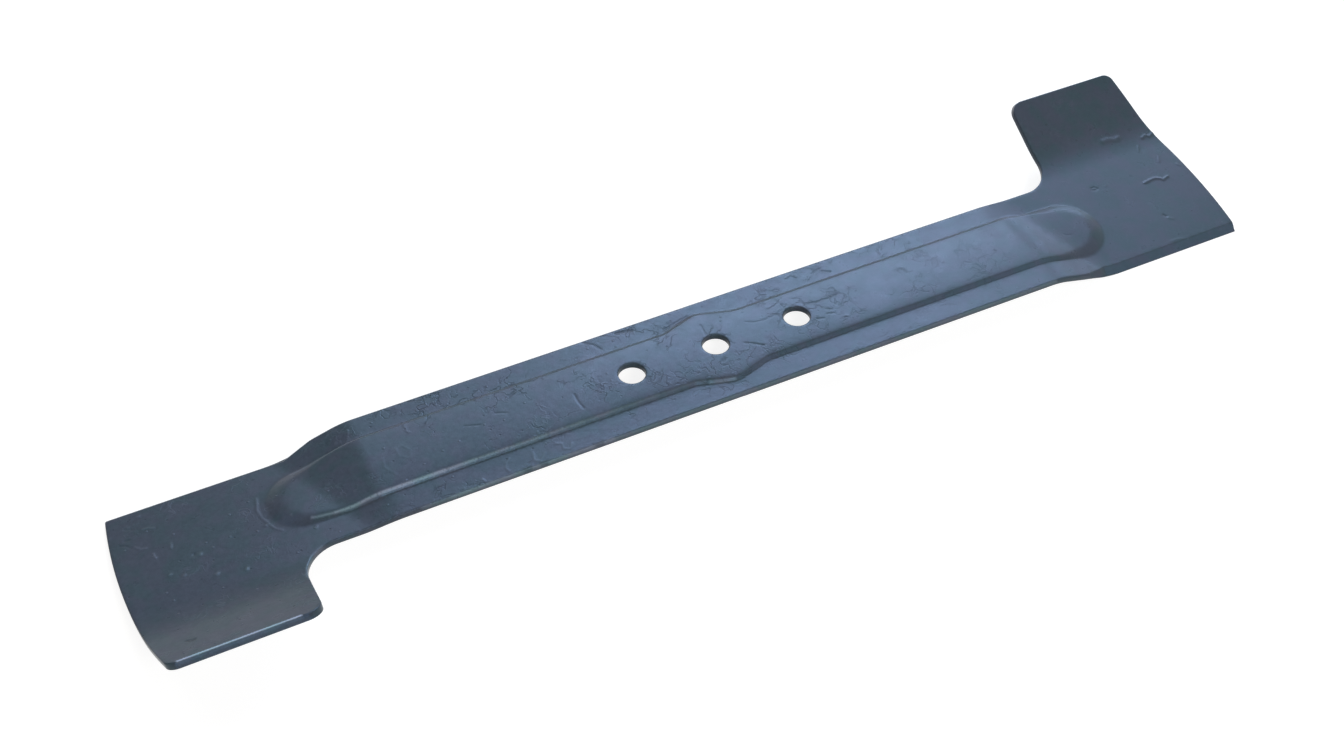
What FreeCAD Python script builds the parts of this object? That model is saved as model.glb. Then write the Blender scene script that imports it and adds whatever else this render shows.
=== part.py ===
import FreeCAD, Part
import math
import os
import re
import Sketcher

# Rotary mower blade, one piece of pressed steel sheet, half-turn symmetric about its centre hole.
# X runs along the blade, Z up, and the origin lies under the centre hole on the plane that the
# two ground cutting edges stand on. The leading edge of the +X wing faces -Y, its air-lift sail +Y.

DIMENSIONS = {
    # sheet and plan outline
    "sheet_thickness": 2.4,
    "tip_radius": 214.2,
    "tip_centre_y": 4.0,
    "bar_half_width": 23.6,
    "wing_inner_x": 159.6,
    "notch_radius": 12.5,
    "sail_rim_y": 58.7,
    "inner_corner_radius": 5.5,
    "outer_corner_radius": 4.0,
    # fixing holes in one row
    "hole_radius": 4.8,
    "hole_pitch": 32.5,
    # joggle from the raised bar down to the cutting edge
    "bar_height": 6.55,
    "ramp_start_x": 130.6,
    "ramp_angle": 15.5,
    "wing_tilt": 7.0,
    "cutting_edge_y": 23.4,
    "ramp_bend_radius": 7.0,
    # sail turned up behind each cutting edge
    "sail_fold_y": 34.4,
    "sail_angle": 28.4,
    "sail_bend_radius": 50.0,
    # stiffening panel pressed up along the middle
    "panel_rise": 2.3,
    "panel_half_width": 13.4,
    "panel_half_length": 163.3,
    "panel_end_radius": 13.0,
    "boss_half_length": 14.0,
    "boss_swell": 4.3,
    "boss_radius": 8.0,
    "panel_shoulder_radius": 1.0,
    "panel_wall": 1.9,
    # ground cutting edge
    "grind_width": 2.2,
    "grind_end_x": 152.5,
    "grind_runout_x": 141.0,
    # how far the shaping blocks reach below the sheet and past its outline
    "block_depth": 30.0,
    "margin": 5.0,
}

LENGTH_TOLERANCE = 1e-4

doc = FreeCAD.newDocument("mower_blade")
spec = doc.addObject("Spreadsheet::Sheet", "spec")
for row, (alias, value) in enumerate(DIMENSIONS.items(), start=1):
    spec.set(f"A{row}", alias)
    spec.set(f"B{row}", str(value))
    spec.setAlias(f"B{row}", alias)
doc.recompute()


def named(expression):
    """The expression with each dimension's name led back to the sheet."""
    return re.sub(rf"\b({'|'.join(DIMENSIONS)})\b", r"spec.\1", expression)


def value_of(expression):
    """The number that an expression of the sheet's dimensions gives."""
    result = spec.evalExpression(named(expression))
    return float(getattr(result, "Value", result))


def origin_plane(body, role):
    return next(item for item in body.Origin.OriginFeatures if item.Role == role)


def corner_sketch(body, name, role, corners, offset="0"):
    """A closed sketch through (x, y, radius) corners, each number an expression of the sheet."""
    sketch = body.newObject("Sketcher::SketchObject", name)
    sketch.AttachmentSupport = [(origin_plane(body, role), "")]
    sketch.MapMode = "FlatFace"
    sketch.setExpression("AttachmentOffset.Base.z", named(offset))
    points = [FreeCAD.Vector(value_of(x), value_of(y), 0) for x, y, _ in corners]
    count = len(points)
    lines = [
        sketch.addGeometry(Part.LineSegment(points[i], points[(i + 1) % count]), False)
        for i in range(count)
    ]
    for i in range(count):
        sketch.addConstraint(Sketcher.Constraint("Coincident", lines[i], 2, lines[(i + 1) % count], 1))
    bound = []
    for i, (x, y, _) in enumerate(corners):
        for kind, text, number, axis in (
            ("DistanceX", x, points[i].x, -2), ("DistanceY", y, points[i].y, -1),
        ):
            if text == "0":
                sketch.addConstraint(Sketcher.Constraint("PointOnObject", lines[i], 1, axis))
                continue
            index = sketch.addConstraint(Sketcher.Constraint(kind, -1, 1, lines[i], 1, number))
            label = f"{kind}_{i}"
            sketch.renameConstraint(index, label)
            bound.append((label, text))
    for i, (_, _, radius) in enumerate(corners):
        if radius is None:
            continue
        sketch.fillet(lines[i], 1, value_of(radius), True, True)
        arc = next(
            index for index in reversed(range(sketch.GeometryCount))
            if isinstance(sketch.Geometry[index], Part.ArcOfCircle)
        )
        index = sketch.addConstraint(Sketcher.Constraint("Radius", arc, value_of(radius)))
        label = f"radius_{i}"
        sketch.renameConstraint(index, label)
        bound.append((label, radius))
    for label, text in bound:
        sketch.setExpression(f"Constraints.{label}", named(text))
    return sketch


def pad(body, name, sketch, length):
    feature = body.newObject("PartDesign::Pad", name)
    feature.Profile = sketch
    feature.setExpression("Length", named(length))
    return feature


def half_turn(body, name, features):
    """The other half of the blade, turned 180 degrees about Z."""
    pattern = body.newObject("PartDesign::PolarPattern", name)
    pattern.Originals = features
    pattern.Axis = (next(item for item in body.Origin.OriginFeatures if item.Role == "Z_Axis"), [""])
    pattern.Angle = 360
    pattern.Occurrences = 2
    body.Tip = pattern
    return pattern


def fillet(body, name, base, edges, radius):
    """Rounds the named edges of a feature and makes the result the body's shape."""
    feature = body.newObject("PartDesign::Fillet", name)
    feature.Base = (base, edges)
    feature.setExpression("Radius", named(radius))
    body.Tip = feature
    doc.recompute()
    return feature


def edges_where(shape, test):
    """Names of the shape's edges for which test(edge, its middle point) holds."""
    found = []
    for number, edge in enumerate(shape.Edges, start=1):
        middle = edge.valueAt((edge.FirstParameter + edge.LastParameter) / 2)
        if test(edge, middle):
            found.append(f"Edge{number}")
    return found


def boolean(kind, name, base, tool):
    feature = doc.addObject(f"Part::{kind}", name)
    feature.Base = base
    feature.Tool = tool
    feature.Refine = True
    return feature


def wing_height(y, depth, lift):
    """Height of a wing at y, at a depth below the sheet's top face, raised by lift."""
    return (f"tan(wing_tilt) * ({y} + cutting_edge_y)"
            f" + (sheet_thickness - {depth}) / cos(wing_tilt) + {lift}")


def wing_corners(depth, lift, past_rim):
    """Section across a wing and its sail: the level at a depth in the sheet, and the block below."""
    mean = "((wing_tilt + sail_angle) / 2)"
    half = "((sail_angle - wing_tilt) / 2)"
    fold_y = f"(sail_fold_y + {depth} * sin{mean} / cos{half})"
    fold_z = f"({wing_height('sail_fold_y', '0', lift)} - {depth} * cos{mean} / cos{half})"
    rim_y = f"(sail_rim_y + {depth} * sin(sail_angle) + {past_rim} * cos(sail_angle))"
    rim_z = f"({fold_z} + ({rim_y} - {fold_y}) * tan(sail_angle))"
    drop_y = f"({rim_y} + margin * sin(sail_angle))"
    drop_z = f"({rim_z} - margin * cos(sail_angle))"
    return [
        ("-bar_half_width", "-block_depth", None),
        (drop_y, "-block_depth", None),
        (drop_y, drop_z, None),
        (rim_y, rim_z, None),
        (fold_y, fold_z, f"sail_bend_radius + {depth}"),
        ("-bar_half_width", wing_height("-bar_half_width", depth, lift), None),
    ]


def press_form(name, depth, lift, past_rim="0"):
    """Block with bar, ramps, wings and sails on top, at a depth in the sheet, raised by lift."""
    body = doc.addObject("PartDesign::Body", name)
    level = f"bar_height + sheet_thickness - {depth} + {lift}"
    ramp_top_x = f"ramp_start_x - {depth} * tan(ramp_angle / 2)"
    end_x = "tip_radius + margin"
    ramp_end = f"{level} - ({end_x} - ({ramp_top_x})) * tan(ramp_angle)"
    side = corner_sketch(body, f"{name}_side", "XZ_Plane", [
        ("0", "-block_depth", None),
        (end_x, "-block_depth", None),
        (end_x, ramp_end, None),
        (ramp_top_x, level, f"ramp_bend_radius + sheet_thickness - {depth}"),
        ("0", level, None),
    ], "-bar_half_width")
    bar = pad(body, f"{name}_bar_and_ramp", side, "2 * bar_half_width")
    wing_corner_list = wing_corners(depth, lift, past_rim)
    section = corner_sketch(body, f"{name}_section", "YZ_Plane", wing_corner_list, "ramp_start_x")
    wing = pad(body, f"{name}_wing_and_sail", section, "tip_radius + 2 * margin - ramp_start_x")
    halves = half_turn(body, f"{name}_halves", [bar, wing])
    doc.recompute()

    def on_ramp_foot(edge, middle):
        for vertex in edge.Vertexes:
            turn = 1 if vertex.X > 0 else -1
            x, y = turn * vertex.X, turn * vertex.Y
            on_wing = value_of(wing_height(str(y), depth, lift))
            on_ramp = value_of(f"{level} - ({x} - ({ramp_top_x})) * tan(ramp_angle)")
            if max(abs(vertex.Z - on_wing), abs(vertex.Z - on_ramp)) > LENGTH_TOLERANCE:
                return False
        return True

    feet = edges_where(halves.Shape, on_ramp_foot)
    fillet(body, f"{name}_foot_bends", halves, feet, f"ramp_bend_radius + {depth}")
    return body


def panel_block(name, inset):
    """Upright block over the panel's plan outline, drawn in by inset all round."""
    body = doc.addObject("PartDesign::Body", name)
    half_width = f"(panel_half_width - {inset})"
    half_length = f"(panel_half_length - {inset})"
    end_radius = f"panel_end_radius - {inset}"
    half = [
        (half_length, half_width, end_radius),
        ("boss_half_length", half_width, "boss_radius"),
        ("0", f"({half_width} + boss_swell)", "boss_radius"),
        ("-boss_half_length", half_width, "boss_radius"),
        (f"-{half_length}", half_width, end_radius),
    ]
    turned = [(x if x == "0" else f"-({x})", f"-{y}", radius) for x, y, radius in half]
    outline = corner_sketch(body, f"{name}_outline", "XY_Plane", half + turned, "-block_depth")
    pad(body, f"{name}_pad", outline, "2 * block_depth")
    return body


def embossed_form(name, depth, inset, past_rim):
    """Press form with the panel raised on it and the panel's wall rounded above and below."""
    plain = press_form(f"{name}_plain", depth, "0", past_rim)
    lifted = press_form(f"{name}_lifted", depth, "panel_rise")
    panel = boolean("Common", f"{name}_panel", lifted, panel_block(f"{name}_panel_block", inset))
    joined = boolean("Fuse", f"{name}_joined", plain, panel)
    body = doc.addObject("PartDesign::Body", name)
    body.BaseFeature = joined
    doc.recompute()
    base = body.Group[0]
    outside_y = value_of("panel_half_width + boss_swell + panel_shoulder_radius")
    outside_x = value_of("panel_half_length + panel_shoulder_radius")

    def is_upright(face, point):
        u, v = face.Surface.parameter(point)
        return abs(face.normalAt(u, v).z) < LENGTH_TOLERANCE

    def on_panel_wall(edge, middle):
        if abs(middle.x) > outside_x or abs(middle.y) > outside_y or middle.z < 0:
            return False
        first, second = base.Shape.ancestorsOfType(edge, Part.Face)
        return is_upright(first, middle) != is_upright(second, middle)

    wall_edges = edges_where(base.Shape, on_panel_wall)
    fillet(body, f"{name}_shoulders", base, wall_edges, "panel_shoulder_radius")
    return body


def blank_block():
    """Upright block over the blank's plan outline: bar, wings and sails, without the tip arcs."""
    body = doc.addObject("PartDesign::Body", "blank")
    half = [
        ("tip_radius + margin", "-bar_half_width", None),
        ("tip_radius + margin", "sail_rim_y + 2 * margin", None),
        ("wing_inner_x", "sail_rim_y + 2 * margin", None),
        ("wing_inner_x", "bar_half_width", "notch_radius"),
    ]
    turned = [(f"-({x})", f"-({y})", radius) for x, y, radius in half]
    outline = corner_sketch(body, "blank_outline", "XY_Plane", half + turned, "-block_depth")
    pad(body, "blank_pad", outline, "2 * block_depth")
    return body


def tip_offcuts():
    """What the round cut takes off both ends of the blank."""
    body = doc.addObject("PartDesign::Body", "tip_offcuts")
    sketch = body.newObject("Sketcher::SketchObject", "tip_cut")
    sketch.AttachmentSupport = [(origin_plane(body, "XY_Plane"), "")]
    sketch.MapMode = "FlatFace"
    sketch.setExpression("AttachmentOffset.Base.z", named("-block_depth"))
    low_y, high_y, far_x = "-2 * bar_half_width", "sail_rim_y + 4 * margin", "tip_radius + 2 * margin"
    radius, centre_y = value_of("tip_radius"), value_of("tip_centre_y")
    angles = [math.asin((value_of(y) - centre_y) / radius) for y in (low_y, high_y)]
    circle = Part.Circle(FreeCAD.Vector(0, centre_y, 0), FreeCAD.Vector(0, 0, 1), radius)
    arc_geometry = Part.ArcOfCircle(circle, *angles)
    far_low = FreeCAD.Vector(value_of(far_x), value_of(low_y), 0)
    far_high = FreeCAD.Vector(value_of(far_x), value_of(high_y), 0)
    arc = sketch.addGeometry(arc_geometry, False)
    high = sketch.addGeometry(Part.LineSegment(arc_geometry.EndPoint, far_high), False)
    side = sketch.addGeometry(Part.LineSegment(far_high, far_low), False)
    low = sketch.addGeometry(Part.LineSegment(far_low, arc_geometry.StartPoint), False)
    for first, first_end, second, second_end in ((arc, 2, high, 1), (high, 2, side, 1),
                                                 (side, 2, low, 1), (low, 2, arc, 1)):
        sketch.addConstraint(Sketcher.Constraint("Coincident", first, first_end, second, second_end))
    sketch.addConstraint(Sketcher.Constraint("PointOnObject", arc, 3, -2))
    sketch.addConstraint(Sketcher.Constraint("Horizontal", high))
    sketch.addConstraint(Sketcher.Constraint("Horizontal", low))
    for label, kind, end, expression in (
        ("cut_centre", "DistanceY", (arc, 3), "tip_centre_y"),
        ("far_side", "DistanceX", (side, 1), far_x),
        ("high_side", "DistanceY", (side, 1), high_y),
        ("far_side_low", "DistanceX", (side, 2), far_x),
        ("low_side", "DistanceY", (side, 2), low_y),
    ):
        index = sketch.addConstraint(Sketcher.Constraint(kind, -1, 1, *end, value_of(expression)))
        sketch.renameConstraint(index, label)
        sketch.setExpression(f"Constraints.{label}", named(expression))
    index = sketch.addConstraint(Sketcher.Constraint("Radius", arc, radius))
    sketch.renameConstraint(index, "cut_radius")
    sketch.setExpression("Constraints.cut_radius", named("tip_radius"))
    offcut = pad(body, "tip_offcut", sketch, "2 * block_depth")
    half_turn(body, "tip_offcut_halves", [offcut])
    return body


def grind_section(body, name, offset, edge_y, edge_z):
    """Wedge above the ground bevel at x = offset, where the bevel's lower line is (edge_y, edge_z)."""
    rise = "sheet_thickness / grind_width"
    outer_y = f"{edge_y} - margin"
    inner_y = f"{edge_y} + 2 * margin"
    corners = [
        (outer_y, f"{edge_z} - margin * {rise}", None),
        (inner_y, f"{edge_z} + 2 * margin * {rise}", None),
        (outer_y, f"{edge_z} + 2 * margin * {rise}", None),
    ]
    return corner_sketch(body, name, "YZ_Plane", corners, offset)


def grinding():
    """What the wheel takes off the top of both leading edges, running out up the ramp."""
    body = doc.addObject("PartDesign::Body", "grinding")
    ramp_z = "(bar_height + sheet_thickness - (grind_runout_x - ramp_start_x) * tan(ramp_angle))"
    run_out = grind_section(body, "grind_run_out", "grind_runout_x", "-bar_half_width", ramp_z)
    start = grind_section(body, "grind_start", "grind_end_x", "-cutting_edge_y", "0")
    past_tip = grind_section(body, "grind_past_tip", "tip_radius + margin", "-cutting_edge_y", "0")
    wedge = body.newObject("PartDesign::AdditiveLoft", "grind_wedge")
    wedge.Profile = run_out
    wedge.Sections = [start, past_tip]
    wedge.Ruled = True
    half_turn(body, "grind_halves", [wedge])
    return body


def hole_row(body):
    """Three round holes in a row along X, cut down through the raised panel."""
    sketch = body.newObject("Sketcher::SketchObject", "hole_row")
    sketch.AttachmentSupport = [(origin_plane(body, "XY_Plane"), "")]
    sketch.MapMode = "FlatFace"
    sketch.setExpression("AttachmentOffset.Base.z", named("block_depth"))
    for label, place in (("middle", 0), ("right", 1), ("left", -1)):
        pitch, radius = value_of("hole_pitch"), value_of("hole_radius")
        centre = FreeCAD.Vector(place * pitch, 0, 0)
        circle = sketch.addGeometry(Part.Circle(centre, FreeCAD.Vector(0, 0, 1), radius), False)
        size = sketch.addConstraint(Sketcher.Constraint("Radius", circle, radius))
        sketch.renameConstraint(size, f"{label}_radius")
        sketch.setExpression(f"Constraints.{label}_radius", named("hole_radius"))
        if place == 0:
            sketch.addConstraint(Sketcher.Constraint("Coincident", circle, 3, -1, 1))
            continue
        sketch.addConstraint(Sketcher.Constraint("PointOnObject", circle, 3, -1))
        step = sketch.addConstraint(Sketcher.Constraint("DistanceX", -1, 1, circle, 3, centre.x))
        sketch.renameConstraint(step, f"{label}_step")
        sketch.setExpression(f"Constraints.{label}_step", named(f"{place} * hole_pitch"))
    holes = body.newObject("PartDesign::Pocket", "fixing_holes")
    holes.Profile = sketch
    holes.Type = "ThroughAll"
    body.Tip = holes
    doc.recompute()
    return holes


upper_form = embossed_form("upper_form", "0", "0", "0")
under_form = embossed_form("under_form", "sheet_thickness", "panel_wall", "margin")
pressed = boolean("Cut", "pressed_sheet", upper_form, under_form)
outline = boolean("Cut", "round_ended_blank", blank_block(), tip_offcuts())
trimmed = boolean("Common", "trimmed_sheet", pressed, outline)
ground = boolean("Cut", "ground_sheet", trimmed, grinding())

blade = doc.addObject("PartDesign::Body", "mower_blade")
blade.Label = "mower_blade"
blade.Placement = FreeCAD.Placement(FreeCAD.Vector(0, 0, 0), FreeCAD.Rotation())
blade.BaseFeature = ground
doc.recompute()
drilled = hole_row(blade)


def on_rim_corner(edge, middle, near_tip):
    """Whether this is the short edge through the sheet at one end of a sail's rim."""
    if edge.Length > value_of("2 * sheet_thickness") or abs(middle.y) < value_of("sail_rim_y"):
        return False
    return (abs(middle.x) > value_of("(wing_inner_x + tip_radius) / 2")) == near_tip


inner_corners = edges_where(drilled.Shape, lambda edge, middle: on_rim_corner(edge, middle, False))
rounded = fillet(blade, "rim_inner_corners", drilled, inner_corners, "inner_corner_radius")
outer_corners = edges_where(rounded.Shape, lambda edge, middle: on_rim_corner(edge, middle, True))
finished = fillet(blade, "rim_outer_corners", rounded, outer_corners, "outer_corner_radius")

for obj in doc.Objects:
    if "Invalid" in obj.State or "Error" in obj.State:
        raise RuntimeError(f"{obj.Name} was not built: {obj.State}")
    if obj.isDerivedFrom("Part::Feature") and (obj.Shape.isNull() or not obj.Shape.isValid()):
        raise RuntimeError(f"{obj.Name} has no sound shape")
stages = [upper_form, pressed, trimmed, ground, drilled, rounded, finished]
for before, after in zip(stages, stages[1:]):
    if after.Shape.Volume >= before.Shape.Volume:
        raise RuntimeError(f"{after.Name} took nothing off {before.Name}")
if len(inner_corners) != 2 or len(outer_corners) != 2 or len(blade.Shape.Solids) != 1:
    raise RuntimeError("the blade should be one solid with two sails, each with two rim corners")

os.makedirs("parts", exist_ok=True)
blade.Shape.exportStep("parts/mower_blade.step")
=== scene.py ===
import math

import bpy
import numpy as np
from mathutils import Matrix, Vector
from mathutils.geometry import delaunay_2d_cdt


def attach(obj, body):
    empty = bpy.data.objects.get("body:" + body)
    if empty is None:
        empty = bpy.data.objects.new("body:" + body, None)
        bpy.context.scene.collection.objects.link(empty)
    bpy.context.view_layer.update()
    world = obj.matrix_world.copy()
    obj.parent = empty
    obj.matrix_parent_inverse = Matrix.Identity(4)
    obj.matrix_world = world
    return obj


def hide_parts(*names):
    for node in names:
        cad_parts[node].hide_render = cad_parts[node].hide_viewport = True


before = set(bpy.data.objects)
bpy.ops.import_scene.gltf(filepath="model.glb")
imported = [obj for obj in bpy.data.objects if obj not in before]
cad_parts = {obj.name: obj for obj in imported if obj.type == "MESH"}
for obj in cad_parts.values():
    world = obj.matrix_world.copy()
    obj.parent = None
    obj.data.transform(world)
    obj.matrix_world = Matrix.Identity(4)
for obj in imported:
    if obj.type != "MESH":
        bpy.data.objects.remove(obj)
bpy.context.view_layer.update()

MM = 0.001

# Sheet and plan outline, in millimetres and degrees
SHEET = 2.4
TIP_RADIUS = 214.2
TIP_CENTRE_Y = 4.0
BAR_HALF_WIDTH = 23.6
WING_INNER_X = 159.6
NOTCH_RADIUS = 12.5
SAIL_RIM_Y = 58.7
INNER_CORNER_RADIUS = 5.5
OUTER_CORNER_RADIUS = 4.0
HOLE_RADIUS = 4.8
HOLE_PITCH = 32.5

# Joggle, tilted wing and sail
BAR_HEIGHT = 6.55
RAMP_START_X = 130.6
RAMP_ANGLE = math.radians(15.5)
RAMP_START_RADIUS = 13.0
RAMP_START_RADIUS_FLANGE = 26.0
FLANGE_BLEND = 2.0
RAMP_FOOT_RADIUS = 14.0
WING_TILT = math.radians(7.0)
CUTTING_EDGE_Y = 23.4
SAIL_FOLD_Y = 34.4
SAIL_ANGLE = math.radians(28.4)
SAIL_BEND_RADIUS = 50.0

# Panel pressed up along the middle
PANEL_RISE = 1.7
PANEL_HALF_WIDTH = 13.4
PANEL_HALF_LENGTH = 163.3
PANEL_END_RADIUS = 13.0
BOSS_HALF_LENGTH = 14.0
BOSS_SWELL = 4.3
BOSS_RADIUS = 8.0
PANEL_WALL = 1.9

# Section through the panel's wall: shares of the rise, and how far each spreads in millimetres
SLOPE_SHARE = 0.66
SLOPE_HALF_WIDTH = 0.48
BACK_SLOPE_HALF_WIDTH = 0.54
SLOPE_TOP_ROUND = 0.15
SLOPE_FOOT_ROUND = 0.08
CROWN_SHARE = 0.15
SHOULDER_SHARE = 0.12
SHOULDER_SPREAD = 1.3
FOOT_SPREAD = 0.9
END_SLOPE_HALF_WIDTH = 2.2
END_INWARDS = 2.2
END_ROUNDER = 3.0
END_START_X = 136.0
END_FULL_X = PANEL_HALF_LENGTH - 4.0

# A quarter of the panel's outline, from which distances are measured: its step, and how far it runs on
QUARTER_STEP = 0.7
QUARTER_OVERLAP = 4.0
QUARTER_LEAD = 2.0
STRAIGHT_ENOUGH = 1e-6

# Rows of the mesh along the panel's wall, in millimetres outside its outline
WALL_ROWS = (-4.8, -3.8, -3.0, -2.4, -1.9, -1.5, -1.2, -0.95, -0.75, -0.55, -0.3,
             0.0, 0.3, 0.55, 0.7, 0.82, 0.95, 1.1, 1.4, 1.9, 2.6)
UNDER_WALL_ROWS = (-3.2, -1.6, -0.8, -0.3, 0.0, 0.3, 0.8, 1.6)
WALL_ROW_STEP = 0.9
UNDER_WALL_ROW_STEP = 1.4

# Grid of the mesh between them: its size, and its steps on plain ground, at the bends and at the marks
GRID_HALF_LENGTH = 216.0
GRID_HALF_WIDTH = 62.0
GRID_ROW_SHARE = 0.866
TOP_STEPS = (1.2, 0.6, 0.4)
UNDER_STEPS = (2.0, 1.0)
POINT_GAP = 0.3
RAMP_START_REACH = 2.4
RAMP_FOOT_REACH = 0.75
WALL_GAP_SHARE = 0.4
MERGE_DISTANCE = 1e-6
MOVED_LIMIT = 1e-4

# Points round each hole and along each tip, and the limit to how far a sharp corner moves out
HOLE_POINTS = 44
TIP_POINTS = 80
SHARPEST_MITER = 0.6

# Ground bevel along each cutting edge
GRIND_WIDTH = 2.2
GRIND_END_X = 152.5
GRIND_RUNOUT_X = 141.0
GRIND_START_X = GRIND_RUNOUT_X - 1.0
GRIND_BLEND = 0.12
EDGE_LAND = 0.12

# Rows of the mesh along the line where the bevel starts, which is found by halving
CREST_START_X = GRIND_RUNOUT_X + 0.5
CREST_BEHIND_Y = -10.0
CREST_HALVINGS = 40
CREST_STEP = 0.9
CREST_OFFSETS = (-0.45, -0.15, 0.15, 0.45)

# Sheared edges, rounded by the press and the paint, the top ones a little more along a sail's rim
TOP_EDGE_RADIUS = 0.5
RIM_EDGE_RADIUS = 0.6
UNDER_EDGE_RADIUS = 0.3
RIM_BLEND_INSIDE = 2.5
RIM_BLEND = 2.0
FULL_ROUND_THICKNESS = 1.3
EDGE_TURNS = (22.5, 45, 67.5, 90)
SHARP_ANGLE = 50

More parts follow.
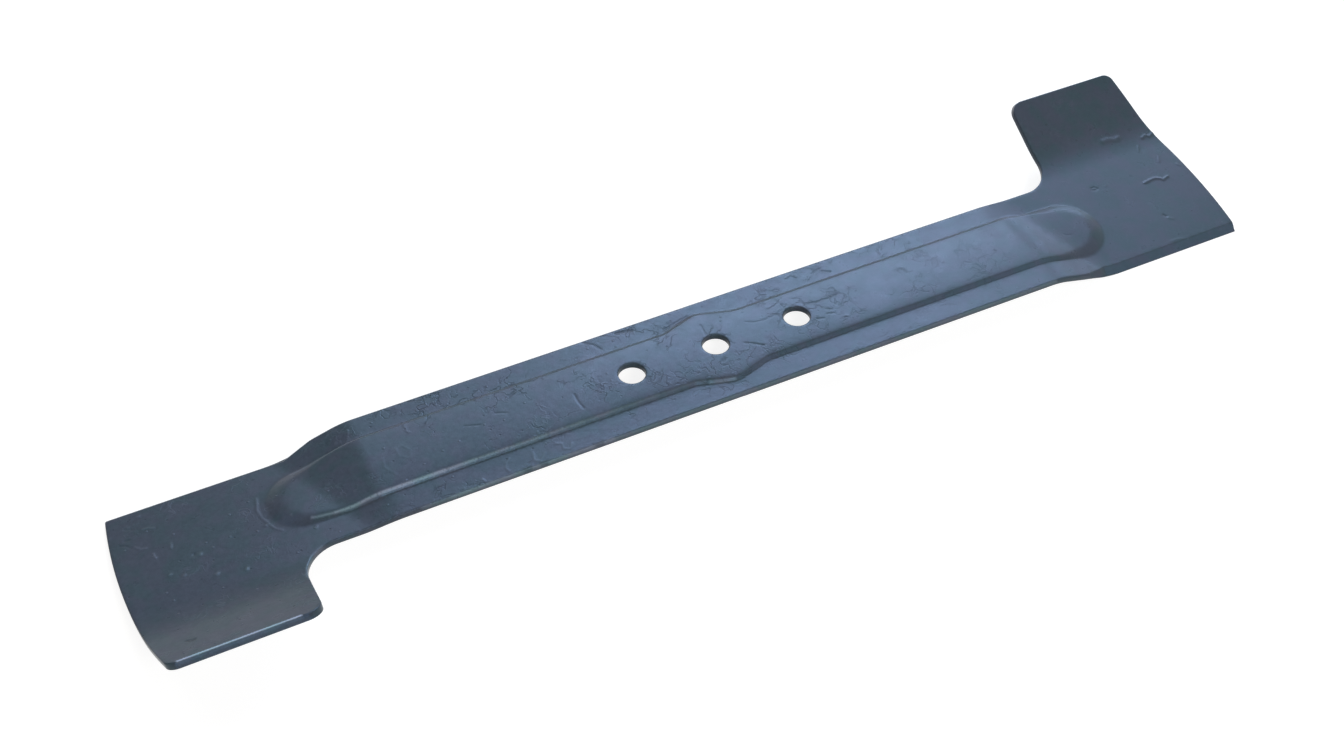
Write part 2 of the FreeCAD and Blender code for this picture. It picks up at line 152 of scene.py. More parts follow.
# Marks in the paint: height and half width in millimetres, share lighter (+) or darker (-), and line
# Besides marks, some lines below hold painted highlights, painted light and painted shade
MARKS = [
    # Runs, bumps and pits on the right wing
    (0.24, 0.55, -0.06, ((193.0, 9.8), (196.4, 10.3), (198.3, 10.4), (200.1, 9.5), (200.8, 8.3),
                         (202.4, 8.9), (203.5, 9.2))),
    (0.22, 1.0, 0.06, ((190.0, 34.5), (192.6, 34.6), (195.0, 33.7), (197.1, 34.0))),
    (0.20, 0.6, -0.10, ((206.4, 30.5), (208.3, 31.3), (209.5, 30.3), (211.3, 30.8), (212.6, 31.5))),
    (-0.12, 0.4, -0.15, ((171.8, 15.6), (173.1, 15.6), (173.9, 14.6), (172.8, 14.0), (171.4, 14.7))),
    (0.08, 0.35, 0.10, ((177.4, 14.4), (178.0, 14.4))),
    (-0.18, 0.5, -0.30, ((189.9, -7.2), (190.3, -8.1))),
    (0.10, 0.45, 0.08, ((190.7, -9.2), (192.0, -10.3))),
    (0.08, 0.4, 0.10, ((184.3, -19.6), (187.4, -19.6), (189.2, -20.2))),
    (0.09, 0.4, 0.05, ((202.4, 27.5), (200.8, 25.1))),
    (0.07, 0.5, -0.06, ((206.7, 19.6), (205.2, 17.2))),
    (0.12, 0.5, 0.10, ((211.0, 13.4), (211.6, 12.4))),
    # Fine dark wrinkles on the right half of the panel
    (-0.08, 0.35, -0.12, ((146.8, -1.7), (147.6, -2.7), (149.3, -3.1))),
    (-0.07, 0.35, -0.12, ((102.1, -2.2), (103.4, -3.2))),
    (-0.07, 0.35, -0.12, ((105.0, -4.8), (105.6, -6.6), (105.7, -7.8))),
    (-0.08, 0.35, -0.20, ((115.5, -1.5), (115.8, -1.9))),
    (-0.06, 0.35, -0.10, ((102.0, 4.6), (101.7, 1.6))),
    # Wrinkles round the right hole and right of the middle one
    (-0.06, 0.35, -0.14, ((14.4, 5.5), (17.2, 3.8), (20.1, 3.3), (21.5, 3.3), (25.6, 3.7), (29.3, 5.2))),
    (-0.10, 0.35, -0.14, ((37.5, 4.0), (42.1, 3.4), (47.7, 3.1), (50.9, 3.6))),
    (-0.09, 0.35, -0.12, ((50.3, 2.7), (48.9, 0.6), (48.0, -1.1))),
    (-0.10, 0.35, -0.16, ((38.3, -4.4), (40.7, -5.3))),
    (-0.08, 0.35, -0.12, ((42.8, -3.8), (45.6, -4.6))),
    (-0.08, 0.35, -0.12, ((43.6, -1.6), (45.5, -2.5))),
    (0.08, 0.35, 0.08, ((48.4, -7.3), (49.2, -7.9))),
    (-0.10, 0.38, -0.14, ((9.6, -4.0), (11.7, -5.3), (15.4, -8.1))),
    (-0.08, 0.35, -0.10, ((14.6, -7.8), (13.3, -10.5))),
    (-0.10, 0.4, -0.12, ((48.8, 18.4), (50.8, 19.5), (53.2, 19.9))),
    (-0.10, 0.4, -0.12, ((52.8, 18.4), (54.4, 17.5), (55.9, 16.6))),
    (0.09, 0.4, 0.06, ((39.4, 20.9), (41.6, 21.9), (43.0, 19.7))),
    # Wrinkles behind and left of the middle hole
    (-0.16, 0.45, -0.25, ((-29.2, 21.8), (-26.6, 21.5), (-25.3, 21.3), (-23.1, 20.6))),
    (-0.10, 0.4, -0.12, ((-41.8, 23.0), (-39.9, 21.3), (-38.3, 19.8), (-37.0, 17.0))),
    (-0.12, 0.4, -0.18, ((-12.3, 16.1), (-7.8, 17.2), (-2.1, 18.4))),
    (-0.08, 0.35, -0.10, ((-10.5, 18.0), (-8.9, 18.9))),
    (-0.08, 0.35, -0.10, ((-0.6, 10.8), (-1.0, 7.3), (-1.0, 5.6))),
    (-0.10, 0.4, -0.14, ((-54.5, -0.5), (-54.7, -3.5), (-54.5, -5.7), (-54.1, -7.8))),
    # Three light curls in front of the panel
    (0.06, 0.4, 0.28, ((-84.9, -16.6), (-86.5, -18.0), (-87.5, -19.9), (-87.0, -21.6))),
    (0.06, 0.4, 0.28, ((-76.9, -17.6), (-77.7, -21.0), (-75.9, -22.2), (-73.2, -19.4))),
    (0.06, 0.4, 0.28, ((-68.4, -17.2), (-66.6, -18.1), (-66.9, -20.6), (-64.7, -21.4), (-63.5, -19.5))),
    # Light and dark wrinkles on the left half of the bar
    (0.09, 0.35, 0.08, ((-97.5, -22.9), (-96.3, -20.9), (-95.7, -22.5))),
    (0.03, 0.4, 0.08, ((-123.1, 0.5), (-123.9, -3.5), (-122.1, -6.9), (-121.2, -8.3))),
    (0.03, 0.4, 0.08, ((-118.9, 1.4), (-115.7, 3.3), (-113.9, 0.4), (-114.6, -3.6))),
    (0.03, 0.4, 0.08, ((-117.9, 2.9), (-117.9, -1.1), (-115.3, -2.8))),
    (0.07, 0.4, 0.05, ((-111.6, 13.0), (-112.3, 9.1), (-111.3, 7.6))),
    (-0.08, 0.35, -0.10, ((-82.2, 3.1), (-78.4, 1.5))),
    (-0.08, 0.35, -0.10, ((-93.7, 2.1), (-88.8, 0.3))),
    # Chips along the bar's front edge
    (-0.30, 0.5, -1.4, ((-82.4, -23.8), (-79.7, -23.8))),
    (-0.30, 0.5, -1.4, ((-76.2, -23.8), (-74.1, -23.8))),
    (-0.26, 0.45, -1.3, ((-56.5, -23.8), (-53.9, -23.8))),
    # Bright dots, bumps and pits on the left wing and its sail
    (0.16, 0.5, 0.85, ((-175.9, -22.2), (-176.3, -22.8))),
    (0.15, 0.5, 0.75, ((-184.8, -19.8), (-185.2, -20.2))),
    (0.12, 0.45, 0.55, ((-194.4, -15.5), (-194.8, -15.8))),
    (0.12, 0.45, 0.55, ((-198.3, -13.2), (-198.7, -13.4))),
    (0.10, 0.45, 0.40, ((-202.0, 18.1), (-202.4, 17.9))),
    (0.12, 0.4, 0.60, ((-157.0, -6.8), (-157.2, -7.0))),
    (0.12, 0.4, 0.50, ((-165.5, -6.3), (-165.9, -6.5))),
    (0.10, 0.35, 0.50, ((-151.1, -14.6), (-151.4, -15.6))),
    (0.12, 0.4, 0.45, ((-201.5, -1.5), (-201.4, -2.7), (-201.0, -3.7))),
    (-0.12, 0.5, -0.20, ((-189.6, -7.9), (-189.8, -8.3))),
    (0.12, 0.5, 0.60, ((-187.7, -8.7), (-187.9, -9.1))),
    (0.10, 0.4, 0.45, ((-195.3, 0.5), (-195.7, -1.6))),
    (-0.14, 0.6, -0.60, ((-199.7, -48.3), (-198.6, -48.9), (-197.4, -49.0))),
    (-0.09, 0.4, -0.14, ((-207.4, 13.9), (-205.6, 13.2))),
    (-0.09, 0.4, -0.12, ((-208.7, 8.8), (-207.0, 8.4))),
    (-0.08, 0.4, -0.12, ((-210.4, 7.1), (-208.8, 6.6), (-207.0, 4.3))),
    (0.09, 0.4, 0.40, ((-206.0, 4.5), (-204.8, 2.6), (-202.9, 2.3))),
    (0.10, 0.4, 0.45, ((-202.1, 11.3), (-200.4, 11.2), (-198.8, 10.2))),
    (0.08, 0.4, 0.30, ((-165.4, 7.6), (-166.6, 1.7), (-166.0, -2.6), (-163.6, -8.9), (-161.4, -11.3))),
    # A speck on the right sail
    (0.08, 0.4, 0.10, ((176.8, 52.9), (177.2, 52.7))),
    # Painted highlight along the panel's front crease, on the left half and as far as the middle hole
    (0.0, 0.40, 2.2, ((-151.5, -11.2), (-149.0, -11.7), (-145.0, -12.3))),
    (0.0, 0.40, 3.4, ((-144.2, -12.4), (-138.0, -12.9), (-130.0, -12.9))),
    (0.0, 0.43, 3.8, ((-129.0, -12.9), (-106.0, -12.9))),
    (0.0, 0.42, 2.8, ((-105.0, -12.9), (-95.0, -12.9))),
    (0.0, 0.42, 2.0, ((-94.0, -12.9), (-84.0, -12.9))),
    (0.0, 0.45, 1.7, ((-83.0, -13.0), (-70.0, -13.0))),
    (0.0, 0.45, 1.4, ((-69.0, -13.0), (-56.0, -13.0))),
    (0.0, 0.45, 1.1, ((-55.0, -13.0), (-42.0, -13.0))),
    (0.0, 0.45, 0.8, ((-41.0, -13.0), (-28.0, -13.0))),
    (0.0, 0.45, 0.5, ((-27.0, -13.0), (-15.0, -13.0), (-11.0, -14.0))),
    (0.0, 0.48, 1.2, ((-9.5, -14.9), (-5.0, -16.3), (-1.0, -17.2))),
    # Painted highlight along the left sail's rim, and a lighter line along the edge of its notch
    (0.0, 0.28, 9.0, ((-167.0, -58.2), (-204.0, -58.2))),
    (0.0, 0.4, 1.2, ((-160.0, -36.1), (-159.0, -31.2), (-156.2, -27.0), (-152.0, -24.2))),
    # Painted light along the bar's front edge, lightening its rounding and edge face
    (0.0, 0.35, 0.9, ((-108.0, -23.4), (-50.0, -23.4))),
    (0.0, 0.45, 1.1, ((-118.0, -23.7), (128.0, -23.7))),
    # Painted shade on the edge face below the rim's painted highlight
    (0.0, 0.22, -0.6, ((-163.0, -58.75), (-206.0, -58.75))),
    # Painted light along the panel's rear crease, lightening the shade of its thin dark line
    (0.0, 0.60, 0.8, ((-152.0, 12.9), (-20.0, 13.4), (-14.0, 13.8), (-3.0, 16.8), (0.0, 17.3),
                      (3.0, 16.8), (14.0, 13.8), (20.0, 13.4), (140.0, 13.4))),
]

# Half widths at which a mark has faded out, the fine mesh round it, and the sheet's share below its tone
MARK_FADED_OUT = 3
MARK_REACH = 1.3
MARK_SURROUND = 0.5
UNMARKED_SHARE = 0.6


def smooth_step(t):
    t = np.clip(t, 0.0, 1.0)
    return t * t * (3.0 - 2.0 * t)


def smooth_min(a, b, width):
    near = np.clip(width - np.abs(a - b), 0.0, None) / width
    return np.minimum(a, b) - near * near * width / 4.0


def smooth_max(a, b, width):
    return -smooth_min(-a, -b, width)


def home(x, y):
    """A point's place on the +X half; the -X half is the same half turned by 180 degrees."""
    side = np.where(x < 0, -1.0, 1.0)
    return x * side, y * side


def wing_height(y, depth):
    """Height across a wing and its sail at a depth below the sheet's top face."""
    plane = np.tan(WING_TILT) * (y + CUTTING_EDGE_Y) + (SHEET - depth) / math.cos(WING_TILT)
    fold_z = math.tan(WING_TILT) * (SAIL_FOLD_Y + CUTTING_EDGE_Y) + SHEET / math.cos(WING_TILT)
    mean = (WING_TILT + SAIL_ANGLE) / 2
    reach = SAIL_BEND_RADIUS / math.cos((SAIL_ANGLE - WING_TILT) / 2)
    centre_y = SAIL_FOLD_Y - reach * math.sin(mean)
    centre_z = fold_z + reach * math.cos(mean)
    radius = SAIL_BEND_RADIUS + depth
    start_y = centre_y + radius * math.sin(WING_TILT)
    end_y = centre_y + radius * math.sin(SAIL_ANGLE)
    across = np.clip(y, start_y, end_y) - centre_y
    arc = centre_z - np.sqrt(radius ** 2 - across ** 2)
    return np.where(y < start_y, plane, arc + np.tan(SAIL_ANGLE) * np.clip(y - end_y, 0, None))


def ramp_height(x, depth):
    """Height of the ramp's plane at a depth below the sheet's top face."""
    level = BAR_HEIGHT + SHEET - depth
    start = RAMP_START_X - depth * math.tan(RAMP_ANGLE / 2)
    return level - (x - start) * math.tan(RAMP_ANGLE)


def plain_height(x, y, depth):
    """Height of the sheet without its panel, at a depth below the top face, on the +X half."""
    level = BAR_HEIGHT + SHEET - depth
    ramp = ramp_height(x, depth)
    slope = math.tan(RAMP_ANGLE)
    flange = smooth_step((y - PANEL_HALF_WIDTH) / FLANGE_BLEND)
    start_radius = RAMP_START_RADIUS + (RAMP_START_RADIUS_FLANGE - RAMP_START_RADIUS) * flange
    convex = 2 * slope * (start_radius + SHEET - depth) * math.tan(RAMP_ANGLE / 2)
    bar = smooth_min(np.full_like(x, level), ramp, convex)
    crossing = math.hypot(slope, math.tan(WING_TILT))
    concave = 2 * crossing * (RAMP_FOOT_RADIUS + depth) * math.tan(math.atan(crossing) / 2)
    return smooth_max(bar, wing_height(y, depth), concave)


def arc_points(centre, radius, start, end, step):
    """Points of an arc from a start to an end angle, at most a step apart."""
    count = max(3, int(math.ceil(abs(end - start) * radius / step)) + 1)
    angle = np.linspace(start, end, count)
    return np.stack([centre[0] + radius * np.cos(angle), centre[1] + radius * np.sin(angle)], 1)


def corner_round(here, to_last, to_next, radius):
    """Centre, start angle and turn of the arc that rounds a corner between two unit directions."""
    half = math.acos(float(np.clip(to_last @ to_next, -1, 1))) / 2
    bisector = (to_last + to_next) / np.linalg.norm(to_last + to_next)
    centre = here + bisector * radius / math.sin(half)
    first = here + to_last * radius / math.tan(half) - centre
    last = here + to_next * radius / math.tan(half) - centre
    start = math.atan2(first[1], first[0])
    turn = math.atan2(last[1], last[0]) - start
    return centre, start, (turn + math.pi) % (2 * math.pi) - math.pi


def round_corners(corners, step):
    """Closed outline through (x, y, radius) corners, with arcs and straights divided by step."""
    parts = []
    count = len(corners)
    for i in range(count):
        here = np.array(corners[i][:2])
        to_last = np.array(corners[i - 1][:2]) - here
        to_next = np.array(corners[(i + 1) % count][:2]) - here
        to_last /= np.linalg.norm(to_last)
        to_next /= np.linalg.norm(to_next)
        radius = corners[i][2]
        centre, start, turn = corner_round(here, to_last, to_next, radius)
        parts.append(arc_points(centre, radius, start, start + turn, step))
    outline = []
    for i in range(count):
        outline.append(parts[i])
        along = parts[(i + 1) % count][0] - parts[i][-1]
        pieces = int(round(np.linalg.norm(along) / step))
        share = np.linspace(0, 1, pieces + 1)[1:-1, None]
        outline.append(parts[i][-1] + along * share)
    return np.concatenate(outline)


def panel_outline(step):
    """The raised panel's closed outline, with its swelling round the middle hole."""
    half = [
        (PANEL_HALF_LENGTH, PANEL_HALF_WIDTH, PANEL_END_RADIUS),
        (BOSS_HALF_LENGTH, PANEL_HALF_WIDTH, BOSS_RADIUS),
        (0.0, PANEL_HALF_WIDTH + BOSS_SWELL, BOSS_RADIUS),
        (-BOSS_HALF_LENGTH, PANEL_HALF_WIDTH, BOSS_RADIUS),
        (-PANEL_HALF_LENGTH, PANEL_HALF_WIDTH, PANEL_END_RADIUS),
    ]
    return round_corners(half + [(-x, -y, radius) for x, y, radius in half], step)


def nearest_on(points, line):
    """Distance from each point to an open polyline, and which side it is on: +1 right of it."""
    start, end = line[:-1], line[1:]
    along = end - start
    squared_length = (along ** 2).sum(1)
    best = np.full(len(points), 1e9)
    side = np.ones(len(points))
    for i in range(len(start)):
        offset = points - start[i]
        share = np.clip(offset @ along[i] / squared_length[i], 0, 1)
        gap = offset - share[:, None] * along[i]
        distance = np.hypot(gap[:, 0], gap[:, 1])
        cross = along[i][0] * offset[:, 1] - along[i][1] * offset[:, 0]
        nearer = distance < best
        best = np.where(nearer, distance, best)
        side = np.where(nearer, np.where(cross < 0, 1.0, -1.0), side)
    return best, side


def quarter_of_panel():
    """The panel's outline from its +X end to just past its widest point, in the first quadrant."""
    outline = panel_outline(QUARTER_STEP)
    start = int(np.argmin(np.hypot(outline[:, 0] - PANEL_HALF_LENGTH, outline[:, 1])))
    turned = np.roll(outline, -start, axis=0)
    stop = int(np.argmax(turned[:, 0] < -QUARTER_OVERLAP))
    line = turned[:stop]
    lead = np.array([[PANEL_HALF_LENGTH, -QUARTER_LEAD]])
    keep = [0]
    for i in range(1, len(line) - 1):
        before = line[i] - line[keep[-1]]
        after = line[i + 1] - line[i]
        if abs(before[0] * after[1] - before[1] * after[0]) > STRAIGHT_ENOUGH:
            keep.append(i)
    keep.append(len(line) - 1)
    return np.concatenate([lead, line[keep]])


PANEL_QUARTER = quarter_of_panel()


def panel_distance(x, y):
    """Distance outside the panel's outline, negative inside."""
    distance, side = nearest_on(np.stack([np.abs(x), np.abs(y)], 1), PANEL_QUARTER)
    return distance * side


def end_share(x):
    """0 along the panel's sides, rising to 1 round its ends, where its wall is gentler."""
    return smooth_step((np.abs(x) - END_START_X) / (END_FULL_X - END_START_X))


def ease(value, width):
    """0 well below zero, value well above it, rounded over a width between."""
    return width * np.logaddexp(0.0, value / width)


def panel_lift(x, y, inset):
    """How far the panel lifts each point of a face whose wall stands an inset further in."""
    out = panel_distance(x, y) + inset
    end = end_share(x)
    side = np.where(y < 0, SLOPE_HALF_WIDTH, BACK_SLOPE_HALF_WIDTH)
    half = side + (END_SLOPE_HALF_WIDTH - side) * end
    rounder = 1.0 + END_ROUNDER * end
    wall = out + END_INWARDS * end
    past_top = ease(wall + half, SLOPE_TOP_ROUND * rounder)
    past_foot = ease(wall - half, SLOPE_FOOT_ROUND * rounder)
    slope = SLOPE_SHARE * (1.0 - (past_top - past_foot) / (2.0 * half))
    within, beyond = np.minimum(out, 0.0), np.maximum(out, 0.0)
    crown = CROWN_SHARE * (1.0 - np.clip(1.0 + within / PANEL_HALF_WIDTH, 0.0, 1.0) ** 2)
    shoulder = SHOULDER_SHARE * (1.0 - np.exp(within / SHOULDER_SPREAD))
    foot_share = 1.0 - SLOPE_SHARE - CROWN_SHARE - SHOULDER_SHARE
    foot = foot_share * np.exp(-beyond / FOOT_SPREAD)
    return PANEL_RISE * (slope + crown + shoulder + foot)


def line_distance(x, y, line):
    """Distance from each point to a short open line."""
    return nearest_on(np.stack([x, y], 1), np.array(line))[0]


def in_box(x, y, line, margin):
    """Which points lie in the box round a line, widened by a margin."""
    ends = np.array(line)
    return ((x > ends[:, 0].min() - margin) & (x < ends[:, 0].max() + margin)
            & (y > ends[:, 1].min() - margin) & (y < ends[:, 1].max() + margin))


def mark_sums(x, y):
    """Relief in mm and light or dark of all marks and painted highlights and shade at each point."""
    relief = np.zeros(len(x))
    tone = np.zeros(len(x))
    for height, width, light, line in MARKS:
        near = in_box(x, y, line, MARK_FADED_OUT * width)
        if near.any():
            fade = np.exp(-(line_distance(x[near], y[near], line) / width) ** 2)
            relief[near] += height * fade
            tone[near] += light * fade
    return relief, tone


def near_mark(points):
    """Which points lie on or close beside a paint mark."""
    found = np.zeros(len(points), bool)
    for _, width, _, line in MARKS:
        reach = MARK_REACH * (MARK_SURROUND + width)
        near = in_box(points[:, 0], points[:, 1], line, reach)
        if near.any():
            close = line_distance(points[near, 0], points[near, 1], line) < reach
            found[np.flatnonzero(near)[close]] = True
    return found


def bevel_height(x, y):
    """The ground bevel's plane, running out up the ramp."""
    rise = SHEET / GRIND_WIDTH
    run = np.clip((GRIND_END_X - x) / (GRIND_END_X - GRIND_RUNOUT_X), 0, None)
    edge_y = -CUTTING_EDGE_Y - run * (BAR_HALF_WIDTH - CUTTING_EDGE_Y)
    runout_z = BAR_HEIGHT + SHEET - (GRIND_RUNOUT_X - RAMP_START_X) * math.tan(RAMP_ANGLE)
    return run * runout_z + (y - edge_y) * rise


def under_height(x, y):
    """Height of the blade's under face."""
    home_x, home_y = home(x, y)
    return plain_height(home_x, home_y, SHEET) + panel_lift(x, y, PANEL_WALL)


def top_height(x, y):
    """Height of the blade's top face, with the ground bevels and the relief of the paint marks."""
    home_x, home_y = home(x, y)
    pressed = plain_height(home_x, home_y, 0.0) + panel_lift(x, y, 0.0)
    bevelled = smooth_min(pressed, bevel_height(home_x, home_y), GRIND_BLEND)
    ground = np.where(home_x > GRIND_START_X, bevelled, pressed)
    return np.maximum(ground + mark_sums(x, y)[0], under_height(x, y) + EDGE_LAND)


def corner_arc(corner, back_way, on_way, radius, count):
    """Rounded corner of the sail, set out in its own slope and laid back in plan."""
    squeeze = math.cos(SAIL_ANGLE)
    here = np.array([corner[0], corner[1] / squeeze])
    a = np.array([back_way[0], back_way[1] / squeeze])
    b = np.array([on_way[0], on_way[1] / squeeze])
    a /= np.linalg.norm(a)
    b /= np.linalg.norm(b)
    centre, start, turn = corner_round(here, a, b, radius)
    angle = start + turn * np.linspace(0, 1, count)
    return np.stack([centre[0] + radius * np.cos(angle),
                     (centre[1] + radius * np.sin(angle)) * squeeze], 1)


def straight(a, b, count):
    """A straight line from a to just short of b, as count points."""
    share = np.linspace(0, 1, count + 1)[:-1, None]
    return np.array(a) + (np.array(b) - np.array(a)) * share


def blade_outline(rim_y):
    """Plan outline, counter-clockwise, in steps of about 1 mm, with as many points for any rim_y."""
    tip_x = math.sqrt(TIP_RADIUS ** 2 - (-CUTTING_EDGE_Y - TIP_CENTRE_Y) ** 2)
    rim_tip_x = math.sqrt(TIP_RADIUS ** 2 - (rim_y - TIP_CENTRE_Y) ** 2)
    lean = (rim_y - TIP_CENTRE_Y) / rim_tip_x
    outer = corner_arc((rim_tip_x, rim_y), (lean, -1.0), (-1.0, 0.0), OUTER_CORNER_RADIUS, 12)
    inner = corner_arc((WING_INNER_X, rim_y), (1.0, 0.0), (0.0, -1.0), INNER_CORNER_RADIUS, 14)
    tip_start = math.asin((-CUTTING_EDGE_Y - TIP_CENTRE_Y) / TIP_RADIUS)
    tip_end = math.asin((outer[0][1] - TIP_CENTRE_Y) / TIP_RADIUS)
    tip_angle = np.linspace(tip_start, tip_end, TIP_POINTS, endpoint=False)
    tip = np.stack([TIP_RADIUS * np.cos(tip_angle),
                    TIP_CENTRE_Y + TIP_RADIUS * np.sin(tip_angle)], 1)
    notch_y = BAR_HALF_WIDTH + NOTCH_RADIUS
    notch_x = WING_INNER_X - NOTCH_RADIUS
    notch = arc_points((notch_x, notch_y), NOTCH_RADIUS, 0.0, -math.pi / 2, 0.9)
    half = np.concatenate([
        straight((0, -BAR_HALF_WIDTH), (GRIND_RUNOUT_X, -BAR_HALF_WIDTH), 141),
        straight((GRIND_RUNOUT_X, -BAR_HALF_WIDTH), (GRIND_END_X, -CUTTING_EDGE_Y), 12),
        straight((GRIND_END_X, -CUTTING_EDGE_Y), (tip_x, -CUTTING_EDGE_Y), 60),
        tip,
        outer,
        straight(outer[-1], inner[0], 42)[1:],
        inner,
        straight(inner[-1], notch[0], 18)[1:],
        notch,
        straight((notch_x, BAR_HALF_WIDTH), (0, BAR_HALF_WIDTH), 147)[1:],
    ])
    return np.concatenate([half, -half])


def outward_normals(loop):
    """Unit outward direction at each point of a counter-clockwise loop, longer at sharp corners."""
    before = loop - np.roll(loop, 1, axis=0)
    after = np.roll(loop, -1, axis=0) - loop
    before /= np.linalg.norm(before, axis=1)[:, None]
    after /= np.linalg.norm(after, axis=1)[:, None]
    mean = before + after
    mean /= np.linalg.norm(mean, axis=1)[:, None]
    normal = np.stack([mean[:, 1], -mean[:, 0]], 1)
    miter = np.clip((mean * after).sum(1), SHARPEST_MITER, 1.0)
    return normal / miter[:, None]


def hole_loop(centre_x):
    """A hole's edge, clockwise, so that its outward direction points into the hole."""
    angle = -np.linspace(0, 2 * math.pi, HOLE_POINTS, endpoint=False)
    return np.stack([centre_x + HOLE_RADIUS * np.cos(angle), HOLE_RADIUS * np.sin(angle)], 1)


def inside(points, loop):
    """Whether each point lies inside a closed loop."""
    found = np.zeros(len(points), bool)
    x, y = points[:, 0], points[:, 1]
    following = np.roll(loop, -1, axis=0)
    for (x1, y1), (x2, y2) in zip(loop, following):
        if y1 == y2:
            continue
        spans = (y1 > y) != (y2 > y)
        found ^= spans & (x < (x2 - x1) * (y - y1) / (y2 - y1) + x1)
    return found


def staggered_grid(step):
    """Points in rows over the whole blade, every second row shifted by half a step."""
    rows = np.arange(-GRID_HALF_WIDTH, GRID_HALF_WIDTH, step * GRID_ROW_SHARE)
    columns = np.arange(-GRID_HALF_LENGTH, GRID_HALF_LENGTH, step)
    x, y = np.meshgrid(columns, rows)
    x = x + (np.arange(len(rows)) % 2)[:, None] * step / 2
    return np.stack([x.ravel(), y.ravel()], 1)


def clear_of(points, others, gap):
    """Which points keep a gap from all the others."""
    cells = {}
    for x, y in others:
        cells.setdefault((int(x // gap), int(y // gap)), []).append((x, y))
    kept = np.ones(len(points), bool)
    for i, (x, y) in enumerate(points):
        column, row = int(x // gap), int(y // gap)
        for across in (-1, 0, 1):
            for along in (-1, 0, 1):
                for other_x, other_y in cells.get((column + across, row + along), ()):
                    if (x - other_x) ** 2 + (y - other_y) ** 2 < gap * gap:
                        kept[i] = False
                        break
    return kept


def crest_rows():
    """Points along the line where each wing's bevel starts, and close beside it."""
    found = []
    for x in np.arange(CREST_START_X, TIP_RADIUS, CREST_STEP):
        low, high = -BAR_HALF_WIDTH, CREST_BEHIND_Y
        for _ in range(CREST_HALVINGS):
            middle = (low + high) / 2
            at = np.array([x]), np.array([middle])
            if bevel_height(*at)[0] < plain_height(*at, 0.0)[0]:
                low = middle
            else:
                high = middle
        for offset in CREST_OFFSETS:
            found.append((x, low + offset))
    found = np.array(found)
    return np.concatenate([found, -found])


def panel_rows(shift, rows, step):
    """Points along the panel's wall, in rows that follow its outline."""
    outline = panel_outline(step)
    normal = outward_normals(outline)
    return [outline + normal * (row - shift) for row in rows]


def fine_level(points):
    """0 on plain ground, 1 near the bends of the joggle, 2 on and beside the paint marks."""
    home_x, home_y = home(points[:, 0], points[:, 1])
    level = np.zeros(len(points), int)
    level[np.abs(home_x - RAMP_START_X) < RAMP_START_REACH] = 1
    near_foot = np.abs(ramp_height(home_x, 0.0) - wing_height(home_y, 0.0)) < RAMP_FOOT_REACH
    level[near_foot & (home_x > RAMP_START_X)] = 1
    level[near_mark(points)] = 2
    return level


def sheet_face(boundary, holes, rows, steps, wall_shift, wall_rows):
    """Triangles that fill one face of the sheet: boundary and hole loops first, then inner points."""
    loops = [boundary] + holes
    fixed = np.concatenate(loops)
    row_points = np.concatenate(rows)
    inner = []
    for level, step in enumerate(steps):
        grid = staggered_grid(step)
        grid = grid[fine_level(grid) == level]
        wall = panel_distance(grid[:, 0], grid[:, 1]) + wall_shift
        gap = step * WALL_GAP_SHARE
        off_wall = (wall < wall_rows[0] - gap) | (wall > wall_rows[-1] + gap)
        inner.append(grid[off_wall | (level == 2)])
    inner = np.concatenate(inner)
    inner = inner[clear_of(inner, row_points, POINT_GAP)]
    inner = np.concatenate([row_points, inner])
    within = inside(inner, boundary)
    for hole in holes:
        within &= ~inside(inner, hole)
    inner = inner[within]
    inner = inner[clear_of(inner, fixed, POINT_GAP)]
    points = np.concatenate([fixed, inner])
    edges = []
    start = 0
    for loop in loops:
        count = len(loop)
        edges += [(start + i, start + (i + 1) % count) for i in range(count)]
        start += count
    made = delaunay_2d_cdt([Vector(p) for p in points], edges, [], 0, MERGE_DISTANCE, True)
    coords = np.array([tuple(v) for v in made[0]])
    if len(coords) != len(points) or np.abs(coords - points).max() > MOVED_LIMIT:
        raise RuntimeError("the triangulation moved or merged points of the sheet's face")
    triangles = np.array(made[2])
    middles = coords[triangles].mean(axis=1)
    keep = inside(middles, boundary)
    for hole in holes:
        keep &= ~inside(middles, hole)
    return points, triangles[keep]


# Outlines of the top and the under face, and of the three holes
top_outline = blade_outline(SAIL_RIM_Y)
under_outline = blade_outline(SAIL_RIM_Y + SHEET * math.sin(SAIL_ANGLE))
hole_loops = [hole_loop(place * HOLE_PITCH) for place in (-1, 0, 1)]
top_loops = [top_outline] + hole_loops
under_loops = [under_outline] + hole_loops


def top_radius(loop):
    """Rounding of the top edge: small where the sheet was sheared or ground, larger on a sail's rim."""
    rim = smooth_step((np.abs(loop[:, 1]) - SAIL_RIM_Y + RIM_BLEND_INSIDE) / RIM_BLEND)
    return (TOP_EDGE_RADIUS + (RIM_EDGE_RADIUS - TOP_EDGE_RADIUS) * rim)[:, None]


def under_radius(loop):
    return np.full((len(loop), 1), UNDER_EDGE_RADIUS)


def drawn_in(loops, radius_of):
    """The loops moved into the sheet by their edge's rounding."""
    return [loop - outward_normals(loop) * radius_of(loop) for loop in loops]


top_inset = drawn_in(top_loops, top_radius)
under_inset = drawn_in(under_loops, under_radius)
top_rows = panel_rows(0.0, WALL_ROWS, WALL_ROW_STEP) + [crest_rows()]
under_rows = panel_rows(PANEL_WALL, UNDER_WALL_ROWS, UNDER_WALL_ROW_STEP)
top_points, top_triangles = sheet_face(
    top_inset[0], top_inset[1:], top_rows, TOP_STEPS, 0.0, WALL_ROWS)
under_points, under_triangles = sheet_face(
    under_inset[0], under_inset[1:], under_rows, UNDER_STEPS, PANEL_WALL, UNDER_WALL_ROWS)

# The mesh so far: blocks of vertices in metres, and faces
vertices = []
faces = []


